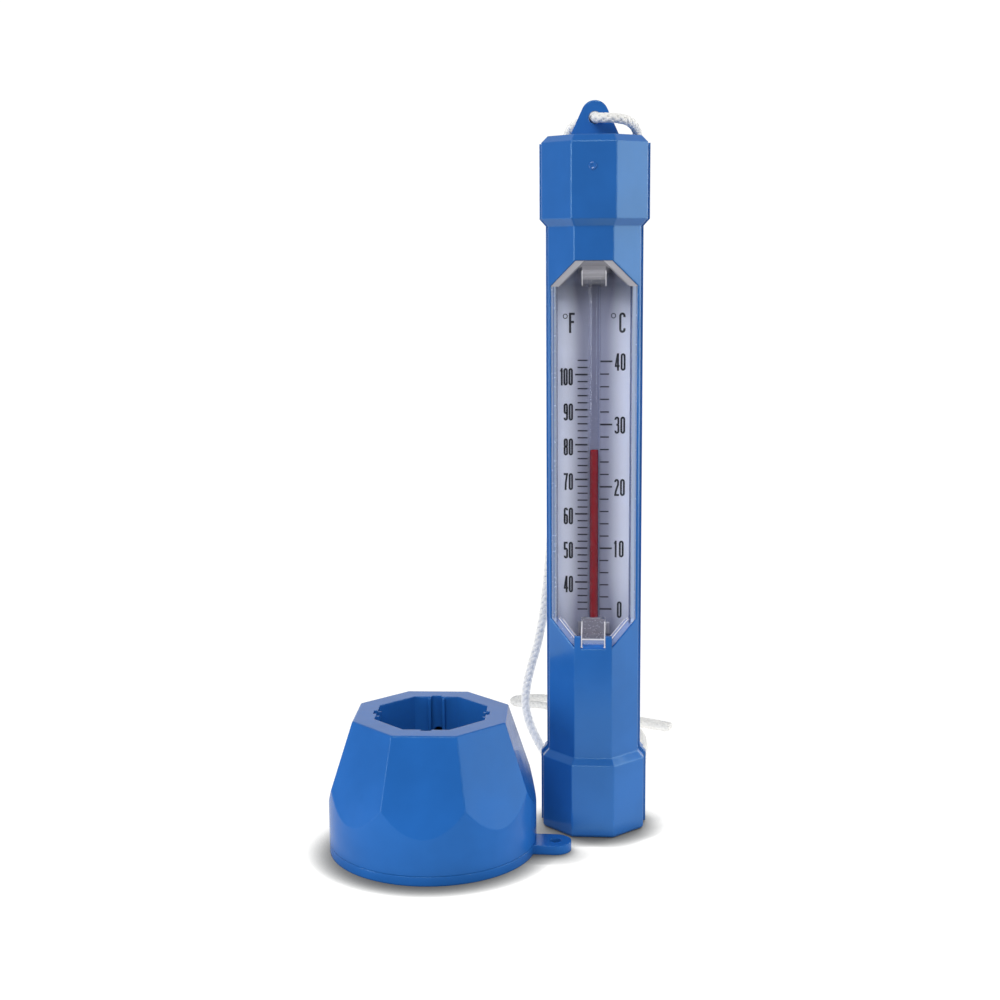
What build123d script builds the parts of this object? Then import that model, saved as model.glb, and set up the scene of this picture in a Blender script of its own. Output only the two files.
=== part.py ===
from build123d import *
import os
from math import cos, radians, sin, tan

# Floating pool thermometer, standing upright with its separate float collar beside it and its
# hanging cord falling behind it.  Millimetres, +Z up, front of the thermometer towards -Y.
# The origin is under the middle of the box round the thermometer and the float, on the surface
# that both stand on; the cord is left out of that box.

# ---------------------------------------------------------------- driving dimensions
cap_width = 32.0              # across the flats of the octagonal end caps
body_width = 28.2             # across the flats of the octagonal body
corner_round = 0.6            # rounding of the eight long edges
wall = 1.8                    # housing wall
foot_round = 0.9              # height of the rounded foot edge
lower_cap_top = 23.6          # where the lower cap starts to narrow
upper_cap_bottom = 192.6      # where the upper cap reaches its full width
taper_height = 2.1            # height of the step between cap and body
cap_shoulder = 215.1          # where the top chamfer starts
housing_height = 217.1        # flat top of the upper cap
top_width = 28.2              # across the flats of that flat top

seam_rib = 0.8                # how far the weld rib stands out from both sides
seam_rib_thickness = 2.4      # both halves together
seam_rib_start = 0.6          # height at which the rib starts

ear_height = 227.8            # top of the hanging ear
ear_tip_radius = 4.1
ear_base_width = 15.1
ear_thickness = 4.4
ear_hole_height = 222.7
ear_hole_diameter = 3.7

window_bottom = 61.1          # lower edge of the window where it meets the front flat
window_top = 180.3            # upper edge of the window where it meets the front flat
window_face = 6.4             # distance of the flat window pane in front of the axis
window_rim = 0.35             # housing edge that is left round the cover
cover_thickness = 1.3
cover_flange_width = 1.7
cover_flange_depth = 3.0
cover_gap = 0.1
tab_width = 7.6               # snap tab of the cover
tab_rise = 1.6                # how far the tab stands out of the sloped ends
lip_top = 64.9                # top of the housing lip that holds the lower end of the cover
lip_thickness = 1.4
tab_hook_thickness = 0.7

tube_centre = 0.7             # distance of the glass tube's axis in front of the housing's axis
tube_diameter = 3.8
tube_dome = 1.3               # height of the tube's rounded upper end
bore_diameter = 1.7
liquid_diameter = 1.6
bulb_diameter = 8.4
bulb_wall = 0.8
bulb_dome = 2.4               # height of the bulb's rounded lower end
bulb_bottom = 33.0
bulb_top = 56.4
neck_height = 4.0
chamber_bottom = 172.0        # expansion chamber above the scale
chamber_top = 179.0
chamber_diameter = 2.6
tube_top = 184.0
liquid_level = 121.8          # top of the red column as it stands
clip_length = 3.6
clip_wall = 1.0

card_front = 1.3              # distance of the card's printed face behind the housing's axis
card_thickness = 0.8
card_width = 24.0
card_bottom = 60.5
card_top = 181.2
card_ribs = (78.0, 124.0, 170.0)
card_rib_thickness = 1.6
card_rib_width = 11.0

ballast_diameter = 24.0
ballast_height = 14.0
cushion_diameter = 16.0
cushion_pocket_depth = 5.0
end_cap_wall = 1.0
end_cap_height = 3.6

float_height = 42.8
float_base_radius = 32.25
float_top_width = 46.5        # across the flats of the octagonal top
float_facet_slope = 17.5      # degrees from upright
float_wall = 2.0
float_base_thickness = 2.9
float_turn = 1.3              # the float stands turned by this much, in degrees
socket_width = 33.8
socket_depth = 37.0
socket_wall = 1.8
socket_groove_width = 3.2
socket_groove_depth = 1.1
socket_rib_height = 0.7
latch_hole_diameter = 3.0
latch_hole_height = 31.0
tab_direction = -3.8          # of the eyelet tab, in degrees from +X
tab_reach = 38.3              # from the float's axis to the centre of the eyelet
tab_end_radius = 4.9
eyelet_diameter = 3.4
edge_round = 0.6

float_offset = (-49.6, -23.9)  # float axis seen from the thermometer axis

cord_diameter = 3.0
cord_floor = 1.6              # height of the cord's centre line where it lies
cord_knot_size = (9.96, 11.5, 6.4)
knot_place = (-4.0, 114.0)    # behind the thermometer's axis
knot_turn = -55.0             # the knot lies turned by this much, in degrees

# ---------------------------------------------------------------- derived places
float_left = float_offset[0] - float_base_radius
float_front = float_offset[1] - float_base_radius
thermometer_x = -(float_left + cap_width / 2 + seam_rib) / 2
thermometer_y = -(float_front + cap_width / 2) / 2
float_x = thermometer_x + float_offset[0]
float_y = thermometer_y + float_offset[1]

stand = Plane(origin=(thermometer_x, thermometer_y, 0))
front_view = Plane(origin=(thermometer_x, thermometer_y, 0), x_dir=(1, 0, 0), z_dir=(0, -1, 0))
side_view = Plane(origin=(thermometer_x, thermometer_y, 0), x_dir=(0, 1, 0), z_dir=(1, 0, 0))
tube_stand = Plane(origin=(thermometer_x, thermometer_y - tube_centre, 0))
tube_view = Plane(origin=tube_stand.origin, x_dir=(1, 0, 0), z_dir=(0, -1, 0))
float_stand = Plane(
    origin=(float_x, float_y, 0),
    x_dir=(cos(radians(float_turn)), sin(radians(float_turn)), 0),
    z_dir=(0, 0, 1),
)

body_half = body_width / 2
cap_half = cap_width / 2
pane_bottom = window_bottom + body_half - window_face   # the sloped ends stand at 45 degrees
pane_top = window_top - body_half + window_face
diagonal_reach = body_half * 2**0.5                     # |x| + |y| on the body's diagonal flats
pane_half = diagonal_reach - window_face - window_rim
window_end_half = diagonal_reach - body_half - window_rim


def octagon(width, corner=corner_round):
    """An octagon with flats towards X and Y and slightly rounded corners."""
    with BuildSketch(mode=Mode.PRIVATE) as shape:
        RegularPolygon(width / 2, 8, major_radius=False, rotation=22.5)
        fillet(shape.vertices(), corner)
    return shape.sketch


def octagonal_column(plane, sections):
    """A solid through octagons of the given (height, width) on the plane."""
    with BuildPart(mode=Mode.PRIVATE) as column:
        for height, width in sections:
            with BuildSketch(plane.offset(height)):
                add(octagon(width))
        loft(ruled=True)
    return column.part


def window_front(depth, front=-20.0):
    """Side profile of everything in front of a surface that lies `depth` behind the cover's face."""
    step = depth * tan(radians(22.5))
    face = -window_face + depth
    reach = face - front
    with BuildSketch(side_view, mode=Mode.PRIVATE) as profile:
        with BuildLine():
            Polyline(
                (front, pane_bottom - step - reach),
                (face, pane_bottom - step),
                (face, pane_top + step),
                (front, pane_top + step + reach),
                close=True,
            )
        make_face()
    return profile.sketch


def window_outline(inset):
    """Front view of the window, made smaller by `inset` all round."""
    half = pane_half - inset
    end_half = window_end_half - inset * tan(radians(22.5))
    with BuildSketch(front_view, mode=Mode.PRIVATE) as outline:
        with BuildLine():
            Polyline(
                (-end_half, window_bottom + inset),
                (end_half, window_bottom + inset),
                (half, window_bottom + inset + half - end_half),
                (half, window_top - inset - half + end_half),
                (end_half, window_top - inset),
                (-end_half, window_top - inset),
                (-half, window_top - inset - half + end_half),
                (-half, window_bottom + inset + half - end_half),
                close=True,
            )
        make_face()
    return outline.sketch


def window_solid(inset, depth):
    """The window's outline carried back to `depth` behind the cover's face."""
    with BuildPart(mode=Mode.PRIVATE) as block:
        extrude(window_outline(inset), amount=cap_width)
        extrude(window_outline(inset), amount=-cap_width)
        extrude(window_front(depth), amount=cap_width, both=True, mode=Mode.INTERSECT)
    return block.part


# ---------------------------------------------------------------- housing
housing_outside = octagonal_column(
    stand,
    (
        (0, cap_width - 1.6),
        (foot_round / 3, cap_width - 0.6),
        (foot_round, cap_width),
        (lower_cap_top, cap_width),
        (lower_cap_top + taper_height, body_width),
        (upper_cap_bottom - taper_height, body_width),
        (upper_cap_bottom, cap_width),
        (cap_shoulder, cap_width),
        (housing_height, top_width),
    ),
)
taper_inset = wall * 0.4
housing_inside = octagonal_column(
    stand,
    (
        (wall + 0.2, cap_width - 2 * wall),
        (lower_cap_top - taper_inset, cap_width - 2 * wall),
        (lower_cap_top + taper_height - taper_inset, body_width - 2 * wall),
        (upper_cap_bottom - taper_height + taper_inset, body_width - 2 * wall),
        (upper_cap_bottom + taper_inset, cap_width - 2 * wall),
        (housing_height - wall - 0.4, cap_width - 2 * wall),
    ),
)

with BuildPart() as housing:
    add(housing_outside)
    # weld rib that runs down both sides at the seam
    with BuildSketch(front_view):
        with BuildLine():
            Polyline(
                (0, seam_rib_start),
                (cap_half + seam_rib, seam_rib_start),
                (cap_half + seam_rib, lower_cap_top),
                (body_half + seam_rib, lower_cap_top + taper_height),
                (body_half + seam_rib, upper_cap_bottom - taper_height),
                (cap_half + seam_rib, upper_cap_bottom),
                (cap_half + seam_rib, cap_shoulder),
                (0, cap_shoulder),
                close=True,
            )
        make_face()
        mirror(about=Plane.YZ)
    extrude(amount=seam_rib_thickness / 2, both=True)
    # hanging ear
    with BuildSketch(front_view) as ear_outline:
        with Locations((0, ear_height - ear_tip_radius)):
            Circle(ear_tip_radius)
        with Locations((0, housing_height - 0.5)):
            Rectangle(ear_base_width, 1.0)
        make_hull()
        with Locations((0, ear_hole_height)):
            Circle(ear_hole_diameter / 2, mode=Mode.SUBTRACT)
    extrude(amount=ear_thickness / 2, both=True)
    add(housing_inside, mode=Mode.SUBTRACT)

with BuildPart() as housing_front_shell:
    add(housing.part)
    split(bisect_by=front_view, keep=Keep.TOP)
    # window: everything in front of the pane and its sloped ends, then the seat of the cover
    extrude(window_front(0), amount=cap_width, both=True, mode=Mode.SUBTRACT)
    add(window_solid(0, cover_flange_depth), mode=Mode.SUBTRACT)
    # lip over the lower end of the cover, thinner where the snap tab hooks over it
    with BuildSketch(front_view.offset(body_half - lip_thickness)):
        with Locations((0, (window_bottom + lip_top) / 2 - 0.25)):
            Rectangle(2 * window_end_half + 2 * window_rim, lip_top - window_bottom + 0.5)
    extrude(amount=lip_thickness)
    with BuildSketch(front_view.offset(body_half - tab_hook_thickness - cover_gap)):
        with Locations((0, lip_top - 2.0)):
            Rectangle(tab_width + 2 * cover_gap, 4.0)
    extrude(amount=lip_thickness, mode=Mode.SUBTRACT)
housing_front_shell.part.label = "housing_front_shell"

with BuildPart() as housing_rear_shell:
    add(housing.part)
    split(bisect_by=front_view, keep=Keep.BOTTOM)
    # cross ribs that carry the scale card
    rib_start = card_front + card_thickness
    for height in card_ribs:
        with BuildSketch(stand.offset(height - card_rib_thickness / 2)):
            with Locations((0, (rib_start + body_half - 1.0) / 2)):
                Rectangle(card_rib_width, body_half - 1.0 - rib_start)
        extrude(amount=card_rib_thickness)
housing_rear_shell.part.label = "housing_rear_shell"

# ---------------------------------------------------------------- window cover
with BuildPart() as window_cover:
    add(window_solid(cover_gap, cover_flange_depth - cover_gap))
    extrude(window_front(0), amount=cap_width, both=True, mode=Mode.SUBTRACT)
    # hollow behind the pane, which leaves a flange all round
    with BuildPart(mode=Mode.PRIVATE) as pocket:
        add(window_solid(cover_gap + cover_flange_width, 2 * cover_flange_depth))
        extrude(window_front(cover_thickness), amount=cap_width, both=True, mode=Mode.SUBTRACT)
    add(pocket.part, mode=Mode.SUBTRACT)
    # room for the housing's lip
    with BuildSketch(front_view.offset(body_half - lip_thickness - cover_gap)):
        with Locations((0, window_bottom)):
            Rectangle(cap_width, 2 * (lip_top - window_bottom))
    extrude(amount=cap_width, mode=Mode.SUBTRACT)
    # lower snap tab: out of the sloped end, over the lip and down in front of it
    with BuildSketch(side_view.offset(-tab_width / 2)):
        with BuildLine():
            Polyline(
                (-window_face + 0.5, pane_bottom + 0.6),
                (-window_face - tab_rise, pane_bottom + 0.2),
                (-body_half, lip_top + 0.9),
                (-body_half, window_bottom + 0.3),
                (-body_half + tab_hook_thickness, window_bottom + 0.3),
                (-body_half + tab_hook_thickness, lip_top + cover_gap),
                (-body_half + lip_thickness + cover_gap, lip_top + cover_gap),
                (-body_half + lip_thickness + cover_gap, window_bottom + 1.2),
                (-window_face + 0.5, pane_bottom - 0.4),
                close=True,
            )
        make_face()
    extrude(amount=tab_width)
    # upper tab: a low wedge on the sloped end
    with BuildSketch(side_view.offset(-tab_width / 2)):
        with BuildLine():
            Polyline(
                (-window_face + 0.5, pane_top - 0.4),
                (-window_face - tab_rise - 0.6, pane_top + 0.3),
                (-window_face - 4.9, pane_top + 3.8),
                (-window_face - 4.9, pane_top + 4.9),
                (-window_face - 4.2, pane_top + 5.3),
                close=True,
            )
        make_face()
    extrude(amount=tab_width)
window_cover.part.label = "window_cover"

# ---------------------------------------------------------------- scale, tube and liquid
with BuildPart() as scale_card:
    with BuildSketch(front_view.offset(-card_front - card_thickness)):
        with Locations((0, (card_bottom + card_top) / 2)):
            RectangleRounded(card_width, card_top - card_bottom, 1.5)
    extrude(amount=card_thickness)
scale_card.part.label = "scale_card"

tube_radius = tube_diameter / 2
bore_radius = bore_diameter / 2
bulb_radius = bulb_diameter / 2
hollow_radius = bulb_radius - bulb_wall
with BuildPart() as glass_tube:
    with BuildSketch(tube_view):
        with BuildLine():
            bulb_floor = (bulb_radius - bulb_dome, bulb_bottom)
            bulb_side = (bulb_radius, bulb_bottom + bulb_dome)
            tube_side = (tube_radius, tube_top - tube_dome)
            tube_end = (tube_radius - tube_dome, tube_top)
            Line((0, bulb_bottom), bulb_floor)
            RadiusArc(bulb_floor, bulb_side, -bulb_dome)
            Polyline(bulb_side, (bulb_radius, bulb_top), (tube_radius, bulb_top + neck_height), tube_side)
            RadiusArc(tube_side, tube_end, -tube_dome)
            Line(tube_end, (0, tube_top))
            Line((0, tube_top), (0, bulb_bottom))
        make_face()
        with BuildLine():
            Polyline(
                (0, bulb_bottom + bulb_wall),
                (hollow_radius, bulb_bottom + bulb_wall + 1.2),
                (hollow_radius, bulb_top - 1.0),
                (bore_radius, bulb_top + neck_height - 1.0),
                (bore_radius, chamber_bottom),
                (chamber_diameter / 2, chamber_bottom + 1.5),
                (chamber_diameter / 2, chamber_top),
                (0, chamber_top + 1.0),
                close=True,
            )
        make_face(mode=Mode.SUBTRACT)
    revolve(axis=Axis(tube_stand.origin, (0, 0, 1)))
glass_tube.part.label = "glass_tube"

column_start = bulb_top + neck_height - 1.0
with BuildPart() as bulb_liquid:
    with BuildSketch(tube_view):
        with BuildLine():
            fill = hollow_radius - 0.05
            Polyline(
                (0, bulb_bottom + bulb_wall + 0.05),
                (fill, bulb_bottom + bulb_wall + 1.25),
                (fill, bulb_top - 1.05),
                (liquid_diameter / 2, column_start - 0.05),
                (0, column_start - 0.05),
                close=True,
            )
        make_face()
    revolve(axis=Axis(tube_stand.origin, (0, 0, 1)))
bulb_liquid.part.label = "bulb_liquid"

with BuildPart() as liquid_column:
    with BuildSketch(tube_stand.offset(column_start)):
        Circle(liquid_diameter / 2)
    extrude(amount=liquid_level - column_start)
liquid_column.part.label = "liquid_column"


def tube_clip(height):
    """An omega-shaped clip that holds the tube down on the card."""
    inner = tube_radius + 0.05
    outer = inner + clip_wall
    foot = card_front + tube_centre
    with BuildPart(mode=Mode.PRIVATE) as clip:
        with BuildSketch(tube_stand.offset(height)):
            Circle(outer)
            with Locations((0, foot / 2)):
                Rectangle(2 * outer, foot)
            with Locations((0, foot - clip_wall / 2)):
                Rectangle(2 * outer + 4.0, clip_wall)
            Circle(inner, mode=Mode.SUBTRACT)
            with Locations((0, foot / 2)):
                Rectangle(2 * inner, foot, mode=Mode.SUBTRACT)
            with Locations((0, foot + outer)):
                Rectangle(4 * outer, 2 * outer, mode=Mode.SUBTRACT)
        extrude(amount=clip_length)
    return clip.part


with BuildPart() as tube_clip_lower:
    add(tube_clip(window_bottom + 1.0))
tube_clip_lower.part.label = "tube_clip_lower"

with BuildPart() as tube_clip_upper:
    add(tube_clip(window_top - clip_length))
tube_clip_upper.part.label = "tube_clip_upper"

with BuildPart() as tube_end_cap:
    end_cap_start = tube_top + end_cap_wall - end_cap_height
    with BuildSketch(tube_stand.offset(end_cap_start)):
        Circle(tube_radius + end_cap_wall)
    extrude(amount=end_cap_height)
    with BuildSketch(tube_stand.offset(end_cap_start)):
        Circle(tube_radius + 0.05)
    extrude(amount=end_cap_height - end_cap_wall, mode=Mode.SUBTRACT)
tube_end_cap.part.label = "tube_end_cap"

ballast_bottom = wall + 0.2
with BuildPart() as ballast_weight:
    with BuildSketch(stand.offset(ballast_bottom)):
        Circle(ballast_diameter / 2)
    extrude(amount=ballast_height)
    chamfer(ballast_weight.edges().filter_by(GeomType.CIRCLE), 0.8)
ballast_weight.part.label = "ballast_weight"

cushion_top = bulb_bottom + cushion_pocket_depth
with BuildPart() as bulb_cushion:
    with BuildSketch(stand.offset(ballast_bottom + ballast_height)):
        Circle(cushion_diameter / 2)
    extrude(amount=cushion_top - ballast_bottom - ballast_height)
    with BuildSketch(tube_stand.offset(bulb_bottom)):
        Circle(bulb_radius + 0.05)
    extrude(amount=cushion_pocket_depth, mode=Mode.SUBTRACT)
bulb_cushion.part.label = "bulb_cushion"

# ---------------------------------------------------------------- float collar
facet_growth = 2 * tan(radians(float_facet_slope))


def float_block(inset, bottom, top):
    """Round block cut by eight sloping flats, which leaves scalloped arcs round its foot."""
    with BuildPart(mode=Mode.PRIVATE) as block:
        with BuildSketch(float_stand.offset(bottom)):
            Circle(float_base_radius - inset)
        extrude(amount=top - bottom)
        with BuildPart(mode=Mode.PRIVATE) as pyramid:
            for height in (bottom, top):
                width = float_top_width + (float_height - height) * facet_growth - 2 * inset
                with BuildSketch(float_stand.offset(height)):
                    RegularPolygon(width / 2, 8, major_radius=False, rotation=22.5)
            loft(ruled=True)
        add(pyramid.part, mode=Mode.INTERSECT)
    return block.part


socket_floor = float_height - socket_depth
with BuildPart() as float_hood:
    add(float_block(0, float_base_thickness, float_height))
    outer_edges = float_hood.edges().filter_by(
        lambda edge: edge.bounding_box().min.Z > float_base_thickness + 1.0
    )
    fillet(outer_edges, edge_round)
    add(float_block(float_wall, float_base_thickness, float_height - float_wall), mode=Mode.SUBTRACT)
    # socket for the thermometer's head
    with BuildSketch(float_stand.offset(socket_floor - socket_wall)):
        add(octagon(socket_width + 2 * socket_wall + 2 * socket_groove_depth))
    extrude(amount=float_height - edge_round - socket_floor + socket_wall)
    with BuildSketch(float_stand.offset(socket_floor)):
        add(octagon(socket_width))
        # grooves for the weld ribs of the thermometer
        with PolarLocations(socket_width / 2, 4):
            Rectangle(2 * socket_groove_depth, socket_groove_width)
    extrude(amount=socket_depth, mode=Mode.SUBTRACT)
    # guide ribs beside each groove
    with BuildSketch(float_stand.offset(socket_floor)):
        for side in (-1, 1):
            offset_angle = side * 7.9
            with PolarLocations(socket_width / 2 - socket_rib_height / 2 + 0.1, 4, start_angle=offset_angle):
                Rectangle(socket_rib_height + 0.4, 0.9)
    extrude(amount=socket_depth - 0.5)
    # latch hole at the back of the socket
    with BuildSketch(Plane(origin=(float_x, float_y, latch_hole_height), x_dir=(1, 0, 0), z_dir=(0, 1, 0))):
        Circle(latch_hole_diameter / 2)
    extrude(amount=socket_width / 2 + socket_groove_depth + socket_wall + 0.5, mode=Mode.SUBTRACT)
float_hood.part.label = "float_hood"

tab_x = tab_reach * cos(radians(tab_direction))
tab_y = tab_reach * sin(radians(tab_direction))
with BuildPart() as float_base:
    with BuildSketch(float_stand):
        Circle(float_base_radius)
        with Locations(Rotation(0, 0, tab_direction)):
            with Locations((tab_reach / 2, 0)):
                Rectangle(tab_reach, 2 * tab_end_radius)
        with Locations((tab_x, tab_y)):
            Circle(tab_end_radius)
            Circle(eyelet_diameter / 2, mode=Mode.SUBTRACT)
    extrude(amount=float_base_thickness)
    # spigot that centres the hood
    with BuildSketch(float_stand.offset(float_base_thickness)):
        Circle(float_base_radius - float_wall - 0.15)
        Circle(float_base_radius - float_wall - 1.75, mode=Mode.SUBTRACT)
    extrude(amount=2.4)
float_base.part.label = "float_base"


# ---------------------------------------------------------------- hanging cord
def cord_radii(points):
    """The largest arcs that the runs allow, one for each corner."""
    radii = []
    for before, here, after in zip(points, points[1:], points[2:]):
        first = Vector(here) - Vector(before)
        second = Vector(after) - Vector(here)
        half_turn = radians(first.get_angle(second) / 2)
        radii.append(0.45 * min(first.length, second.length) / tan(half_turn))
    return radii


def cord_tube(name, points):
    """A round tube along straight runs joined by tangent arcs, in the thermometer's own place."""
    placed = [(x + thermometer_x, y + thermometer_y, z) for x, y, z in points]
    radii = cord_radii(placed)
    with BuildPart(mode=Mode.PRIVATE) as tube:
        with BuildLine() as route:
            FilletPolyline(*placed, radius=radii)
        start = route.edges()[0]
        with BuildSketch(Plane(origin=start @ 0, z_dir=start % 0)):
            Circle(cord_diameter / 2)
        sweep()
    section = 3.14159265 * (cord_diameter / 2) ** 2
    length = sum(edge.length for edge in route.edges())
    print(name, "length", round(length, 1), "volume / section", round(tube.part.volume / section, 1))
    print(name, "arc radii", [round(radius, 1) for radius in radii])
    return tube.part


# The cord is one length that passes through the ear; both halves start in the middle of its hole.
# Towards the front, to the right over the cap's edge, down behind the body to the floor, back
# along it and into the knot.
cord_right_route = [
    (0.0, 0.0, 222.7),
    (0.2, -3.7, 222.5),
    (2.4, -6.2, 222.3),
    (6.4, -6.2, 222.2),
    (10.2, -3.0, 221.6),
    (12.2, 3.4, 220.3),
    (13.3, 10.8, 218.0),
    (14.0, 16.6, 208.8),
    (13.2, 19.4, 191.0),
    (12.0, 22.0, 158.0),
    (11.2, 24.0, 118.0),
    (12.0, 26.4, 78.0),
    (13.0, 29.0, 44.0),
    (13.6, 33.6, 15.0),
    (15.4, 43.0, 1.6),
    (17.4, 60.0, 1.6),
    (17.7, 79.0, 1.6),
    (15.0, 91.0, 1.6),
    (8.0, 97.2, 1.6),
    (0.6, 101.3, 1.6),
    (-4.0, 107.9, 1.6),
]
# Towards the back, down behind the body, bowing out to the left near the floor, back along it,
# round the fold on the left and into the knot.
cord_left_route = [
    (0.0, 0.0, 222.7),
    (-0.2, 3.7, 222.5),
    (-2.2, 6.6, 222.2),
    (-5.4, 8.8, 221.8),
    (-8.1, 12.6, 220.4),
    (-9.2, 17.4, 217.0),
    (-9.8, 21.4, 207.0),
    (-10.4, 24.0, 190.0),
    (-10.8, 25.6, 160.0),
    (-12.2, 27.0, 126.0),
    (-14.0, 27.8, 98.0),
    (-15.8, 28.4, 76.0),
    (-18.0, 29.0, 56.0),
    (-23.6, 30.0, 37.0),
    (-24.0, 30.4, 25.5),
    (-17.4, 31.6, 11.0),
    (-12.8, 39.6, 1.6),
    (-10.6, 56.0, 1.6),
    (-11.4, 78.0, 1.6),
    (-10.6, 98.0, 1.6),
    (-14.6, 113.0, 1.6),
    (-22.0, 120.4, 1.6),
    (-32.0, 121.0, 1.6),
    (-34.9, 124.2, 1.6),
    (-33.6, 128.3, 1.6),
    (-25.0, 130.6, 1.6),
    (-17.6, 128.6, 1.6),
    (-11.5, 124.7, 1.6),
    (-6.87, 118.1, 1.6),
]
# The two ends stick out of the knot side by side.
tail_front_route = [
    (-1.13, 109.9, 1.6),
    (3.2, 103.7, 1.6),
    (11.8, 99.6, 1.6),
    (20.0, 95.9, 1.6),
    (27.6, 91.7, 1.6),
]
tail_back_route = [
    (1.74, 111.9, 1.6),
    (6.1, 106.0, 1.6),
    (13.6, 102.8, 1.6),
    (21.6, 99.1, 1.6),
    (28.8, 94.9, 1.6),
]

with BuildPart() as cord_right:
    add(cord_tube("cord_right", cord_right_route))
cord_right.part.label = "cord_right"

with BuildPart() as cord_left:
    add(cord_tube("cord_left", cord_left_route))
cord_left.part.label = "cord_left"

with BuildPart() as cord_tail_front:
    add(cord_tube("cord_tail_front", tail_front_route))
cord_tail_front.part.label = "cord_tail_front"

with BuildPart() as cord_tail_back:
    add(cord_tube("cord_tail_back", tail_back_route))
cord_tail_back.part.label = "cord_tail_back"

knot_length, knot_width, knot_height = cord_knot_size
knot_origin = (thermometer_x + knot_place[0], thermometer_y + knot_place[1], cord_floor - cord_diameter / 2)
knot_axis = (cos(radians(knot_turn)), sin(radians(knot_turn)), 0)
with BuildPart() as cord_knot:
    with BuildSketch(Plane(origin=knot_origin, x_dir=knot_axis, z_dir=(0, 0, 1))):
        RectangleRounded(knot_length, knot_width, 0.6)
    extrude(amount=knot_height)
    fillet(cord_knot.edges().group_by(Axis.Z)[-1], 1.6)
cord_knot.part.label = "cord_knot"

# ---------------------------------------------------------------- files
os.makedirs("parts", exist_ok=True)
export_step(housing_front_shell.part, "parts/housing_front_shell.step")
export_step(housing_rear_shell.part, "parts/housing_rear_shell.step")
export_step(window_cover.part, "parts/window_cover.step")
export_step(scale_card.part, "parts/scale_card.step")
export_step(glass_tube.part, "parts/glass_tube.step")
export_step(bulb_liquid.part, "parts/bulb_liquid.step")
export_step(liquid_column.part, "parts/liquid_column.step")
export_step(tube_clip_lower.part, "parts/tube_clip_lower.step")
export_step(tube_clip_upper.part, "parts/tube_clip_upper.step")
export_step(tube_end_cap.part, "parts/tube_end_cap.step")
export_step(ballast_weight.part, "parts/ballast_weight.step")
export_step(bulb_cushion.part, "parts/bulb_cushion.step")
export_step(float_hood.part, "parts/float_hood.step")
export_step(float_base.part, "parts/float_base.step")
export_step(cord_right.part, "parts/cord_right.step")
export_step(cord_left.part, "parts/cord_left.step")
export_step(cord_tail_front.part, "parts/cord_tail_front.step")
export_step(cord_tail_back.part, "parts/cord_tail_back.step")
export_step(cord_knot.part, "parts/cord_knot.step")
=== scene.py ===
import bpy
import math
from mathutils import Matrix, Vector


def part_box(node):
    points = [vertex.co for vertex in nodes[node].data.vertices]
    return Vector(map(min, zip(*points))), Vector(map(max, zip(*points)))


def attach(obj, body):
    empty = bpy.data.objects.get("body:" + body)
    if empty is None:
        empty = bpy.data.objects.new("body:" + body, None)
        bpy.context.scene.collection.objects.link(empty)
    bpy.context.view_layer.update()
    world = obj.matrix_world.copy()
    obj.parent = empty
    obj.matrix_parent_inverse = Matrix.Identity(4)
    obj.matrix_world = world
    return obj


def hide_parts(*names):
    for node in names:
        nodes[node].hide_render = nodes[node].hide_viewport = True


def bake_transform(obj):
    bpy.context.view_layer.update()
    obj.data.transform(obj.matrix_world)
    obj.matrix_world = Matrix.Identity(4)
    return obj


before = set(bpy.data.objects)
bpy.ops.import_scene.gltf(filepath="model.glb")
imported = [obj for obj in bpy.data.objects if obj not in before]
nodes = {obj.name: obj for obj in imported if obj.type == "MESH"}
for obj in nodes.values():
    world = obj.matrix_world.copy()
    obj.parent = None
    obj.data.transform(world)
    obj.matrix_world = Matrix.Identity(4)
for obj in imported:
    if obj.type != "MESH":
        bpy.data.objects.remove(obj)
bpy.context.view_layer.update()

MM = 0.001

# ------------------------------------------------------------------ places, all in metres
shell_low, shell_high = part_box("housing_rear_shell")
axis_x = (shell_low.x + shell_high.x) / 2
axis_y = shell_low.y                      # the shells meet in the plane of the axis
card_low, card_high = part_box("scale_card")
card_face = card_low.y                    # the printed side looks towards -Y
column_low, column_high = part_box("liquid_column")
tube_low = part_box("glass_tube")[0]
tube_x = (column_low.x + column_high.x) / 2
tube_y = (column_low.y + column_high.y) / 2


def place(x, y, z):
    """A point given from the thermometer's axis, in the row frame."""
    return (axis_x + x, axis_y + y, z)


# ------------------------------------------------------------------ camera
CAMERA_PLACE = (0.039615, -0.458585, 0.185431)
CAMERA_TURN = 4.396          # degrees, from +Y towards -X
CAMERA_PITCH = 9.458         # degrees below the horizon
CAMERA_ROLL = -0.008         # radians
CAMERA_LENS = 55.3876        # millimetres, on a sensor SENSOR_WIDTH wide
SENSOR_WIDTH = 36.0
CLIP_START, CLIP_END = 0.01, 20.0
camera_data = bpy.data.cameras.new("camera")
camera_data.sensor_width = SENSOR_WIDTH
camera_data.lens = CAMERA_LENS
camera_data.clip_start = CLIP_START
camera_data.clip_end = CLIP_END
camera = bpy.data.objects.new("camera", camera_data)
bpy.context.scene.collection.objects.link(camera)
camera.matrix_world = (
    Matrix.Translation(CAMERA_PLACE)
    @ Matrix.Rotation(math.radians(CAMERA_TURN), 4, "Z")
    @ Matrix.Rotation(math.radians(90 - CAMERA_PITCH), 4, "X")
    @ Matrix.Rotation(CAMERA_ROLL, 4, "Z")
)
bpy.context.scene.camera = camera


# ------------------------------------------------------------------ node helpers
WHITE = (1.0, 1.0, 1.0)
FULL = (0.0, 1.0)            # from nothing to the whole, as a range
NOISE_MID = (0.3, 0.7)       # the range in which most of a noise's values lie


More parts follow.
